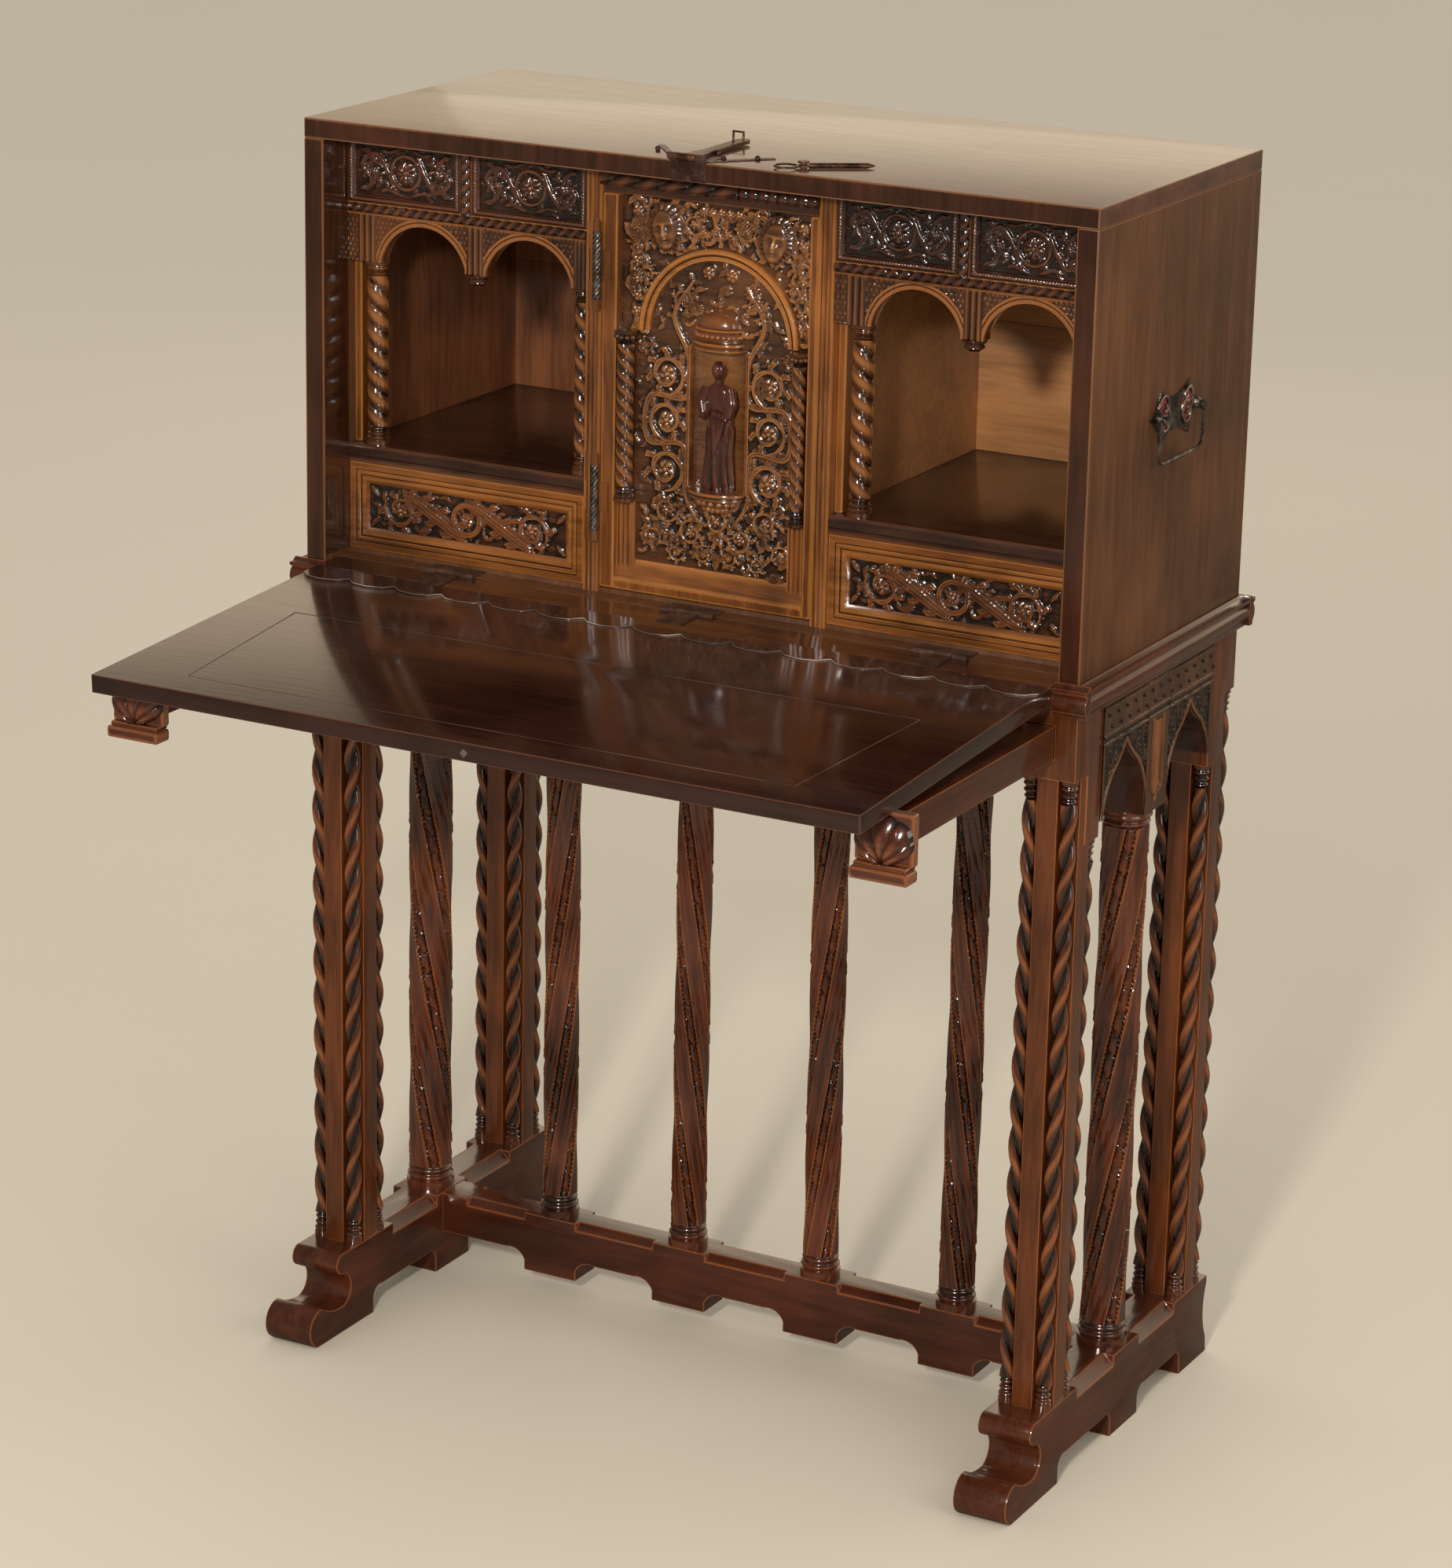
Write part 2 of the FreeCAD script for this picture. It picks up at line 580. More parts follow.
def post(name, side, front):
    half_w, half_d = s.foot_width / 2, s.post_depth / 2
    y_mid = half_d if front else s.chest_depth - half_d
    facing = 1 if front else -1
    at = (side * stand_side, y_mid, s.foot_height)
    shaft = seat_level - s.foot_height
    w_in, w_out = half_w - s.post_notch, half_w - s.post_strip_sink
    d_in, d_out = half_d - s.post_notch, half_d - s.post_strip_sink
    cross = [
        (-w_in, -d_out), (w_in, -d_out), (w_in, -d_in), (w_out, -d_in), (w_out, d_in), (w_in, d_in),
        (w_in, d_out), (-w_in, d_out), (-w_in, d_in), (-w_out, d_in), (-w_out, -d_in), (-w_in, -d_in),
    ]
    core = new_body(f"{name}_core", at)
    lift = (shaft - s.post_head) / 2
    pad(core, f"{name}_shaft", "XY_Plane", cross, shaft - s.post_head, lift)
    head = [
        (-facing * half_d, shaft), (-facing * half_d, shaft - s.post_head), (ZERO, shaft - s.post_head),
        (ZERO, shaft - s.post_impost), (facing * half_d, shaft - s.post_impost), (facing * half_d, shaft),
    ]
    pad(core, f"{name}_head", "YZ_Plane", head, s.foot_width)
    loper_mid = s.chest_width / 2 - s.loper_inset - s.loper_width / 2 - stand_side
    room = s.loper_width / 2 + s.fit_gap
    low = shaft + s.chest_seat - s.loper_drop - s.loper_height - s.fit_gap
    mortise = oblong(side * loper_mid - room, side * loper_mid + room, low,
                     low + s.loper_height + 2 * s.fit_gap)
    pad(core, f"{name}_mortise", "XZ_Plane", mortise, s.post_depth + s.overrun, None, "PartDesign::Pocket")
    pieces = [core]
    inset = s.rope_radius + s.fit_gap / 2
    for across in (-1, 1):
        for along in (-1, 1):
            tall = shaft - (s.post_head if along == -facing else s.post_impost)
            spot = (side * stand_side + across * (half_w - inset), y_mid + along * (half_d - inset),
                    s.foot_height)
            pieces += rope_colonette(f"{name}_rope_{across + 1}{along + 1}", tall, s.rope_radius,
                                     s.rope_waist, s.rope_pitch, s.rope_base, s.rope_cap, spot)
    name_node(group(name, pieces), name)


for side, hand in ((-1, "left"), (1, "right")):
    post(f"front_{hand}_post", side, True)
    post(f"rear_{hand}_post", side, False)

# Stand: the spiral columns, the feature of the piece that takes the most skill

column_height = s.stand_height - s.arcade_low - s.foot_height
for side, name in ((-1, "left_end_column"), (1, "right_end_column")):
    column = spiral_column(name, column_height, s.end_column_radius, side, (side * stand_side, middle_depth,
                                                                           s.foot_height))
    name_node(column, name)
for number, x in enumerate(column_places, start=1):
    name = f"bridge_column_{number}"
    hand = 1 if number % 2 else -1
    column = spiral_column(name, column_height, s.bridge_column_radius, hand,
                           (x, middle_depth, s.foot_height))
    name_node(column, name)

# Stand: the arcades under the chest. Each arch rises straight, swells out and turns to a point.


def arch(a, b):
    """Corners of one ogee arch between two uprights, from the first to the second."""
    low, spring, apex = -s.arcade_low, -s.arch_springing, -s.arch_apex
    rise, half = apex - spring, (b - a) / 2
    foot, knee, neck = [(half * across, spring + rise * up) for across, up in ARCH_SHARES]
    return [
        (a, low),
        (a, spring),
        (a + knee[0], knee[1], (a + foot[0], foot[1])),
        ((a + b) / 2, apex, (a + neck[0], neck[1])),
        (b - knee[0], knee[1], (b - neck[0], neck[1])),
        (b, spring, (b - foot[0], foot[1])),
        (b, low),
    ]


loper_bed = -s.loper_drop - s.loper_height - s.fit_gap
for side, name in ((-1, "left_side_arcade"), (1, "right_side_arcade")):
    side_arcade = new_body(name, (side * stand_side, middle_depth, s.stand_height))
    end, centre = middle_depth - s.post_depth, s.centre_block / 2
    spring = -s.arch_springing
    outline = [(-end, loper_bed), (-end, spring)] + arch(s.arch_pier - end, -centre)[1:]
    outline += arch(centre, end - s.arch_pier)[:-1] + [(end, spring), (end, loper_bed)]
    pad(side_arcade, f"{name}_arches", "YZ_Plane", outline, s.foot_width)
    rail = oblong(-end, end, loper_bed - s.overrun, -s.chest_seat)
    out = side * (s.foot_width - s.rail_thick) / 2
    pad(side_arcade, f"{name}_rail", "YZ_Plane", rail, s.rail_thick, out)
    flute_top, flute_low = -s.arch_apex, -s.arcade_low + s.flute_margin
    half = s.flute_width / 2
    flute = [(-half, flute_low + half), (half, flute_low + half, (ZERO, flute_low)), (half, flute_top),
             (-half, flute_top)]
    pad(side_arcade, f"{name}_flute", "YZ_Plane", flute, 2 * s.flute_deep, side * s.foot_width / 2,
        "PartDesign::Pocket")
    name_node(side_arcade, name)

bridge = new_body("bridge_arcade", (ZERO, middle_depth, s.stand_height))
bridge_end, shoulder = s.chest_width / 2 - s.foot_width, s.bridge_column_radius + s.column_ring
stations = column_places
edges = [s.arch_pier - bridge_end] + [x + sign * shoulder for x in stations for sign in (-1, 1)]
edges += [bridge_end - s.arch_pier]
arches = []
for a, b in zip(edges[::2], edges[1::2]):
    arches += arch(a, b)
outline = [(-bridge_end, -s.chest_seat), (-bridge_end, -s.arch_springing)] + arches[1:-1]
outline += [(bridge_end, -s.arch_springing), (bridge_end, -s.chest_seat)]
pad(bridge, "bridge_arches", "XZ_Plane", outline, s.bridge_thick)
name_node(bridge, "bridge_arcade")

# Stand: the rim moulding, a cove over a torus on each side with short returns at both ends


def rim_outline():
    """Section of the moulding: distance out from the chest, height."""
    out, high, step = s.rim_out, s.rim_height, s.rim_step
    cove, edge_low, edge_high, round_out, round_end = [step * share for share in RIM_SHARES]
    return [
        (s.fit_gap, -high), (out - step, -high), (out - step, -high + step),
        (out - step, -cove, (out, (-high - step) / 2)), (out, -edge_low), (out, -edge_high),
        (round_end, ZERO, (round_out, -edge_high)), (s.fit_gap, ZERO),
    ]


rims = []
for side in (-1, 1):
    run = new_body(f"rim_run_{side + 1}", (side * s.chest_width / 2, middle_depth, s.stand_height))
    outline = rim_outline() if side > 0 else mirrored(rim_outline())
    pad(run, f"rim_run_{side + 1}_length", "XZ_Plane", outline, s.chest_depth)
    rims.append(run)
    for end in (-1, 1):
        y = ZERO if end < 0 else s.chest_depth
        width = s.rim_return + s.rim_out
        x = side * (s.chest_width / 2 + s.rim_out - width / 2)
        turn = new_body(f"rim_return_{side + 1}{end + 1}", (x, y, s.stand_height))
        outline = rim_outline() if end > 0 else mirrored(rim_outline())
        pad(turn, f"rim_return_{side + 1}{end + 1}_length", "YZ_Plane", outline, width)
        rims.append(turn)
name_node(group("rim_moulding", rims), "rim_moulding")

# Lopers: bars that draw out of the front posts to carry the open fall, each with a shell head


def shell_rings():
    """A scallop: ribs that fan out from the foot of the shell, highest along their crests.

    The rings run from the middle of the shell out to its rim, then back inside it on the flat back.
    """
    rings = []
    count = 2 * SHELL_RIBS + 1
    flat, deep = s.shell_radius.value, s.shell_depth.value
    for k in range(SHELL_RINGS + 1):
        out = k / SHELL_RINGS
        reach = flat * (SHELL_MIDDLE_SHARE + SHELL_REACH_SHARE * out)
        rise = deep * math.cos(math.pi / 2 * out ** SHELL_CURVE_SHARE)
        ring_points = []
        for j in range(count):
            angle = math.pi * j / (count - 1)
            crest = 1.0 if j % 2 else 0.0
            r = reach * (1.0 + SHELL_RIB_SHARE * out * crest)
            swell = -rise * (1.0 - SHELL_CREST_SHARE + SHELL_CREST_SHARE * crest)
            ring_points.append((r * math.cos(angle), swell, r * math.sin(angle)))
        rings.append(ring_points)
    inner, lift = SHELL_BACK_SHARES
    rings.append([(x * inner, 0.0, z * inner + lift * flat) for x, y, z in rings[-1]])
    return rings


fall_tan = s.fall_droop.sine() / s.fall_droop.cosine()


def under_fall(y):
    """Height of the open fall's underside at a depth y, counted from the top of the rim."""
    return -(s.hinge_line - y) * fall_tan - s.fall_board_thick / s.fall_droop.cosine()


for side, hand in ((-1, "left"), (1, "right")):
    bar_mid = side * (s.chest_width / 2 - s.loper_inset - s.loper_width / 2)
    head_back = s.head_depth - s.loper_reach
    bar = block(f"{hand}_loper", (bar_mid - s.loper_width / 2, head_back,
                                  s.stand_height - s.loper_drop - s.loper_height),
                (bar_mid + s.loper_width / 2, s.post_depth, s.stand_height - s.loper_drop))
    name_node(bar, f"{hand}_loper")
    head = new_body(f"{hand}_head_block", (bar_mid + side * s.head_shift, ZERO, s.stand_height))
    front, top_front, top_back = -s.loper_reach, under_fall(-s.loper_reach), under_fall(head_back)
    foot = top_front - s.head_height
    shelf = foot + s.plinth_height
    shell_face = front + s.shell_depth
    profile = [
        (shell_face, top_front - s.fit_gap + s.shell_depth * fall_tan),
        (shell_face, shelf),
        (front + s.plinth_step, shelf),
        (front, shelf - s.plinth_height / 2,
         (front + s.plinth_step * PLINTH_ROUND_SHARE, shelf - s.plinth_height / 4)),
        (front, foot),
        (head_back, foot),
        (head_back, top_back - s.fit_gap),
    ]
    pad(head, f"{hand}_head_side", "YZ_Plane", profile, s.head_width)
    shell = skin(f"{hand}_shell", shell_rings(), (bar_mid + side * s.head_shift, shell_face,
                                                  s.stand_height + shelf))
    name_node(group(f"{hand}_shell_head", [head, shell]), f"{hand}_shell_head")

# Chest: its boards

half_chest = s.chest_width / 2
name_node(block("chest_top", (-half_chest, ZERO, inner_top),
                (half_chest, s.chest_depth, s.stand_height + s.chest_height)), "chest_top")
name_node(block("chest_left_side", (-half_chest, ZERO, seat_level),
                (bay_left_wall, s.chest_depth, inner_top)), "chest_left_side")
name_node(block("chest_right_side", (bay_right_wall, ZERO, seat_level),
                (half_chest, s.chest_depth, inner_top)), "chest_right_side")
name_node(block("chest_back", (bay_left_wall, back_face, seat_level),
                (bay_right_wall, s.chest_depth, inner_top)), "chest_back")

hinge_places = [-s.hinge_spread, ZERO, s.hinge_spread]
hinge_y, hinge_z = s.hinge_line, s.stand_height


def hinge_notches(name, extra):
    """Round notches for the hinge knuckles along the hinge line."""
    return [
        rod(f"{name}_notch_{i}", s.hinge_knuckle + extra, s.hinge_length + 2 * extra,
            (x - s.hinge_length / 2 - extra, hinge_y, hinge_z), "x")
        for i, x in enumerate(hinge_places)
    ]


# Boards on the bottom lift the lower drawers and the door clear of the fall's hinges.
facade = s.facade_recess
bottom = [block("bottom_board", (bay_left_wall, s.hinge_line + s.bottom_set_back, seat_level),
                (bay_right_wall, back_face, s.stand_height))]
runs = (
    ("left", bay_left_wall, door_left - s.divider_board), ("door", door_left, door_right),
    ("right", door_right + s.divider_board, bay_right_wall),
)
run_top = s.stand_height + s.run_board
for part_of, x0, x1 in runs:
    bottom.append(block(f"{part_of}_run_board", (x0 + s.fit_gap, facade, s.stand_height - s.overrun),
                        (x1 - s.fit_gap, back_face, run_top)))
name_node(cut("chest_bottom", join("bottom_boards", bottom), hinge_notches("bottom", s.fit_gap)),
          "chest_bottom")

name_node(block("left_divider", (door_left - s.divider_board, facade, s.stand_height),
                (door_left, back_face, inner_top)), "left_divider")
name_node(block("right_divider", (door_right, facade, s.stand_height),
                (door_right + s.divider_board, back_face, inner_top)), "right_divider")

# Chest: the two bays beside the door, each with a lower drawer, an open arcaded room and two upper drawers

bays = {
    "left": (bay_left_wall, door_left - s.divider_board),
    "right": (door_right + s.divider_board, bay_right_wall),
}


def rope_shelf(name, x0, x1):
    """The shelf under the upper drawers, with a round bead along its front edge."""
    shelf = new_body(name, ((x0 + x1) / 2, facade, s.stand_height))
    low, high = s.bay_ceiling_low, s.bay_ceiling_top
    middle = (low + high) / 2
    outline = [(ZERO, low), (back_face - facade, low), (back_face - facade, high), (ZERO, high),
               ]
    outline[0] = (ZERO, low, (-s.rope_bead, middle))
    pad(shelf, f"{name}_board", "YZ_Plane", outline, x1 - x0)
    return name_node(shelf, name)


def drawer_post(name, x_mid):
    """The upright between two upper drawers, with a round bead down its front edge."""
    upright = new_body(name, (x_mid, facade, s.stand_height + s.bay_ceiling_top))
    half, high = s.drawer_rail / 2, s.chest_height - s.top_board - s.bay_ceiling_top
    outline = [(-half, ZERO), (half, ZERO, (ZERO, -s.rope_bead)), (half, back_face - facade),
               (-half, back_face - facade)]
    pad(upright, f"{name}_board", "XY_Plane", outline, high, high / 2)
    return name_node(upright, name)


def bay_arcade(name, x0, x1):
    """Two low arches with a pendant between them, above the open room."""
    board = new_body(f"{name}_board", (ZERO, facade + s.arcade_thick / 2, s.stand_height))
    top, low = s.bay_ceiling_low, s.bay_ceiling_low - s.arcade_drop
    crown, spring = top - s.arch_crown_drop, top - s.arch_spring_drop
    first, last = x0 + s.wide_block, x1 - s.narrow_block
    middle = (first + last) / 2
    edges = [(first, middle - s.pendant_width / 2), (middle + s.pendant_width / 2, last)]
    outline = [(x0, top), (x0, low)]
    for a, b in edges:
        outline += [(a, low), (a, spring), (b, spring, ((a + b) / 2, crown)), (b, low)]
    outline += [(x1, low), (x1, top)]
    pad(board, f"{name}_cut", "XZ_Plane", outline, s.arcade_thick)
    boss = skin(f"{name}_pendant", turned(PENDANT_SHARES, s.pendant_drop.value, (s.arcade_thick / 2).value, 8),
                (middle, facade + s.arcade_thick / 2, s.stand_height + low - s.pendant_drop))
    return name_node(group(name, [board, boss]), name)


def drawer(name, low, high, frame):
    """An open-topped drawer box whose front is a frame round a sunk panel."""
    (x0, z0), (x1, z1) = low, high
    y0, y1 = facade, facade + s.drawer_depth
    case = block(f"{name}_case", (x0, y0, z0), (x1, y1, z1))
    room = block(f"{name}_room", (x0 + s.drawer_wall, y0 + s.drawer_front, z0 + s.drawer_floor),
                 (x1 - s.drawer_wall, y1 - s.drawer_wall, z1 + s.overrun))
    step = frame - s.frame_step / 2
    outer = block(f"{name}_step", (x0 + step, y0 - s.overrun, z0 + step),
                  (x1 - step, y0 + s.panel_sink / 2, z1 - step))
    sunk = block(f"{name}_panel", (x0 + frame, y0 - s.overrun, z0 + frame),
                 (x1 - frame, y0 + s.panel_sink, z1 - frame))
    return name_node(cut(name, case, [room, outer, sunk]), name)


colonettes = []
for hand, (x0, x1) in bays.items():
    name_node(block(f"{hand}_bay_floor", (x0, facade, s.stand_height + s.bay_floor_low),
                    (x1, back_face, s.stand_height + s.bay_floor_top)), f"{hand}_bay_floor")
    rope_shelf(f"{hand}_bay_ceiling", x0, x1)
    middle = (x0 + x1) / 2
    drawer_post(f"{hand}_drawer_post", middle)
    bay_arcade(f"{hand}_bay_arcade", x0, x1)
    gap = s.run_gap
    floor, top = s.stand_height + s.bay_ceiling_top + s.fit_gap, inner_top - gap
    drawer(f"{hand}_lower_drawer", (x0 + gap, run_top + s.fit_gap),
           (x1 - gap, s.stand_height + s.bay_floor_low - gap), s.low_frame)
    half_rail = s.drawer_rail / 2
    drawer(f"{hand}_upper_left_drawer", (x0 + gap, floor), (middle - half_rail - gap, top), s.high_frame)
    drawer(f"{hand}_upper_right_drawer", (middle + half_rail + gap, floor), (x1 - gap, top), s.high_frame)
    room = s.bay_ceiling_low - s.arcade_drop - s.bay_floor_top
    for x in (x0 + s.colonette_inset, x1 - s.colonette_end_inset):
        spot = (x, facade + s.colonette_setback, s.stand_height + s.bay_floor_top)
        colonettes += rope_colonette(f"{hand}_colonette_{len(colonettes)}", room, s.colonette_radius,
                                     s.colonette_waist, s.colonette_pitch, s.colonette_base,
                                     s.colonette_cap, spot, -1)
name_node(group("bay_colonettes", colonettes), "bay_colonettes")

# Chest: the rail over the door, with its own bead

head_rail = new_body("door_head", ((door_left + door_right) / 2, facade, s.stand_height))
low, high = s.door_height_top + s.run_gap, s.chest_height - s.top_board
outline = [(ZERO, low, (-s.rope_bead, (low + high) / 2)), (s.door_thick, low), (s.door_thick, high),
           (ZERO, high)]
pad(head_rail, "door_head_board", "YZ_Plane", outline, s.door_opening)
name_node(head_rail, "door_head")

# Door: a framed leaf with a sunk ground, an arched band, a niche and a sloped sill

leaf_left, leaf_right = door_left + s.run_gap, door_right - s.run_gap
leaf_low = run_top + s.door_floor_gap
leaf_top = s.stand_height + s.door_height_top
ground = facade + s.door_ground_sink
slab = block("leaf_slab", (leaf_left, facade, leaf_low), (leaf_right, facade + s.door_thick, leaf_top))
ground_left, ground_right = leaf_left + s.door_left_stile, leaf_right - s.door_right_stile
sunk = block("leaf_ground", (ground_left, facade - s.overrun, leaf_low + s.door_sill),
             (ground_right, ground, leaf_top + s.overrun))
niche_mid = s.door_shift + s.door_band_shift
niche = block("leaf_niche", (niche_mid - s.niche_width / 2, facade - s.overrun, s.stand_height + s.niche_low),
              (niche_mid + s.niche_width / 2, ground + s.niche_sink, s.stand_height + s.niche_high))
frame = cut("leaf_frame", slab, [sunk, niche])
band_at = (niche_mid, ground - s.door_band_proud, s.stand_height + s.door_band_spring)
band_out = rod("band_out", s.door_band_radius, s.door_band_proud, band_at, "y", None)
band_in = rod("band_in", s.door_band_radius - s.door_band_width, s.door_band_proud + 2 * s.overrun,
              (niche_mid, ground - s.door_band_proud - s.overrun, s.stand_height + s.door_band_spring), "y",
              None)
band_low = block("band_low", (niche_mid - s.door_band_radius - s.overrun,
                              ground - s.door_band_proud - s.overrun,
                              s.stand_height + s.door_band_spring - s.door_band_radius - s.overrun),
                 (niche_mid + s.door_band_radius + s.overrun, ground + s.overrun,
                  s.stand_height + s.door_band_spring))
band = cut("door_band", band_out, [band_in, band_low])
sill = new_body("door_sill", ((ground_left + ground_right) / 2, facade, leaf_low))
slope = [(ZERO, s.door_sill - s.door_sill_slope), (s.door_ground_sink, s.door_sill - s.door_sill_slope),
         (s.door_ground_sink, s.door_sill + s.door_sill_slope)]
pad(sill, "door_sill_slope", "YZ_Plane", slope, ground_right - ground_left)
pedestals = []
column_room = s.door_column_radius + s.fit_gap
door_column_places = (ground_left + column_room, ground_right - column_room)
for i, x in enumerate(door_column_places):
    pedestals.append(block(f"door_pedestal_{i}", (x - column_room, facade, leaf_low + s.door_sill / 2),
                           (x + column_room, ground, s.stand_height + s.door_column_low)))
leaf = join("door_leaf", [frame, band, sill] + pedestals)
name_node(leaf, "door_leaf")

door_columns = []
for i, x in enumerate(door_column_places):
    spot = (x, ground - column_room, s.stand_height + s.door_column_low)
    door_columns += rope_colonette(f"door_column_{i}", s.door_column_high - s.door_column_low,
                                   s.door_column_radius, s.door_column_waist, s.door_column_pitch,
                                   s.colonette_base, s.colonette_cap, spot)
name_node(group("door_columns", door_columns), "door_columns")

# Door: the robed figure in its niche, between a domed canopy and a round pedestal

figure_y = ground + s.niche_sink - s.fit_gap
stand_on = s.stand_height + s.niche_low
robe = [
    [(s.figure_radius.value * w * math.cos(a), -s.figure_radius.value * d * (1 + math.sin(a)),
      h * s.figure_height.value)
     for a in [math.tau * j / 8 for j in range(8)]]
    for h, w, d in FIGURE_SHARES
]
figure = skin("robed_figure", robe, (niche_mid, figure_y, stand_on + s.fit_gap))


def half_turned(shares, height, radius, sides):
    """A turned profile cut flat at the back, where it lies against the door."""
    return [
        [(radius * r * math.cos(a), -radius * r * math.sin(a) * HALF_TURNED_DEPTH_SHARE, h * height)
         for a in [math.pi * j / (sides - 1) for j in range(sides)]]
        for h, r in shares
    ]


canopy = skin("niche_canopy", half_turned(CANOPY_SHARES, s.canopy_height.value, s.canopy_radius.value, 7),
              (niche_mid, ground - s.fit_gap, s.stand_height + s.niche_high))
pedestal = skin("niche_pedestal",
                half_turned(PEDESTAL_SHARES, s.pedestal_height.value, s.pedestal_radius.value, 7),
                (niche_mid, ground - s.fit_gap, stand_on - s.pedestal_height))
name_node(group("niche_figure", [figure, canopy, pedestal]), "niche_figure")

# Door: two barrel hinges on the front of the left divider

barrel_x, barrel_y = door_left - s.barrel_edge, facade - s.barrel_stand_off
fixed, swinging = [], []
for level, low, high in (("high", s.barrel_high_low, s.barrel_high_top),
                         ("low", s.barrel_low_low, s.barrel_low_top)):
    third = (high - low) / 3
    z0 = s.stand_height + low
    r = s.barrel_radius
    leaf_back = facade - s.seat_gap
    for i in (0, 2):
        barrel = rod(f"fixed_barrel_{level}_{i}", r, third - s.fit_gap, (barrel_x, barrel_y, z0 + third * i))
        plate = block(f"fixed_leaf_{level}_{i}", (barrel_x - s.barrel_leaf, leaf_back - s.hinge_leaf,
                                                  z0 + third * i),
                      (barrel_x, leaf_back, z0 + third * (i + 1) - s.fit_gap))
        fixed.append(join(f"fixed_half_{level}_{i}", [barrel, plate]))
    knuckle = rod(f"door_barrel_{level}", r, third - s.fit_gap, (barrel_x, barrel_y, z0 + third))
    plate = block(f"door_leaf_plate_{level}", (barrel_x, leaf_back - s.hinge_leaf, z0 + third),
                  (barrel_x + s.barrel_leaf, leaf_back, z0 + third * 2 - s.fit_gap))
    swinging.append(join(f"door_half_{level}", [knuckle, plate]))
name_node(group("divider_hinge_leaves", fixed), "divider_hinge_leaves")
name_node(group("door_hinge_leaves", swinging), "door_hinge_leaves")

# Fall: the board, modelled closed to the hinge line and drooped to its open rest


def droop(thing):
    """Turn a piece that was laid level about the hinge line to the open rest of the fall."""
    thing.Placement = FreeCAD.Placement(V(0, 0, 0), FreeCAD.Rotation(V(1, 0, 0), s.fall_droop.value))
    bind(thing, "Placement.Rotation.Angle", s.fall_droop)
    return place(thing, ZERO, hinge_y, hinge_z)


def level_block(name, low, high):
    """A board given level, from the hinge line: x, distance in front of the hinge, height above it."""
    (x0, d0, z0), (x1, d1, z1) = low, high
    box = doc.addObject("Part::Box", name)
    for side, a, b in zip(("Length", "Width", "Height"), (x0, -d1, z0), (x1, -d0, z1)):
        bind(box, side, Size.of(b) - Size.of(a))
    for axis, amount in zip("xyz", (x0, -d1, z0)):
        bind(box, f"Placement.Base.{axis}", amount)
    return box


def level_rod(name, radius, length, x0, z0=ZERO):
    """A bar along +X given level, at a height over the local origin."""
    piece = straight_bar(name, radius, length, THIN_SIDES)
    piece.Placement = FreeCAD.Placement(V(0, 0, 0), FreeCAD.Rotation(V(0, 1, 0), 90))
    bind(piece, "Placement.Base.x", x0)
    bind(piece, "Placement.Base.z", z0)
    return piece


fall_half = bay_right_wall - s.fall_side_gap
fall_slab = level_block("fall_slab", (-fall_half, ZERO, -s.fall_board_thick), (fall_half, s.fall_length, ZERO))
notches = [level_rod(f"fall_notch_{i}", s.hinge_knuckle + s.fit_gap, s.hinge_length + 2 * s.fit_gap,
                     x - s.hinge_length / 2 - s.fit_gap) for i, x in enumerate(hinge_places)]
# The staple of the hasp drops into this slot when the fall is shut.
slot_at = s.chest_height + s.hasp_axis_up - s.staple_at
slot = level_block("staple_slot", (s.hasp_shift - s.staple_slot_long / 2, slot_at - s.staple_slot_wide,
                                   -s.fall_board_thick - s.overrun),
                   (s.hasp_shift + s.staple_slot_long / 2, slot_at + s.staple_slot_wide,
                    s.staple_slot_deep - s.fall_board_thick))
name_node(droop(cut("fall_board", fall_slab, notches + [slot])), "fall_board")

fall_leaves, chest_leaves = [], []
for i, x in enumerate(hinge_places):
    eye_half, half = s.hinge_eye / 2, s.hinge_length / 2
    knuckle = level_rod(f"fall_knuckle_{i}", s.hinge_knuckle, s.hinge_eye, x - eye_half)
    leaf_plate = level_block(f"fall_leaf_{i}", (x - eye_half, ZERO, ZERO),
                             (x + eye_half, s.hinge_leaf_reach, s.hinge_leaf))
    bore = level_rod(f"fall_bore_{i}", s.hinge_bore, s.hinge_length, x - half)
    solid = cut(f"fall_hinge_{i}", join(f"fall_hinge_whole_{i}", [knuckle, leaf_plate]), [bore])
    fall_leaves.append(solid)
    pin = rod(f"chest_pin_{i}", s.hinge_pin, s.hinge_length, (x - half, hinge_y, hinge_z), "x")
    parts = [pin]
    for end, (a, b) in enumerate(((x - half, x - eye_half - s.fit_gap), (x + eye_half + s.fit_gap, x + half))):
        parts.append(rod(f"chest_knuckle_{i}{end}", s.hinge_knuckle, b - a, (a, hinge_y, hinge_z), "x"))
        parts.append(block(f"chest_finger_{i}{end}", (a, hinge_y, hinge_z),
                           (b, facade - s.fit_gap, hinge_z + s.hinge_leaf)))
    parts.append(block(f"chest_leaf_{i}", (x - half, hinge_y + s.hinge_knuckle + s.hinge_leaf, hinge_z),
                       (x + half, facade - s.fit_gap, hinge_z + s.hinge_leaf)))
    chest_leaves.append(join(f"chest_hinge_{i}", parts))
fall_group = group("fall_hinge_leaves", fall_leaves)
name_node(droop(fall_group), "fall_hinge_leaves")
name_node(group("chest_hinge_leaves", chest_leaves), "chest_hinge_leaves")

strap = doc.addObject("PartDesign::Body", "fall_strap")
lobes = max(3, round((2 * fall_half / s.strap_lobe).value))
near, far = s.strap_set_back, s.strap_set_back + s.strap_reach
width = fall_half * 2 / lobes
edge = [(fall_half, -near), (-fall_half, -near), (-fall_half, -far)]
for k in range(lobes):
    start = -fall_half + width * k
    edge += [(start + width * across, -far - s.strap_lobe_depth * deep) for across, deep in LOBE_SHARES]
pad(strap, "fall_strap_plate", "XY_Plane", edge, s.strap_thick, s.strap_thick / 2)
name_node(droop(strap), "fall_strap")

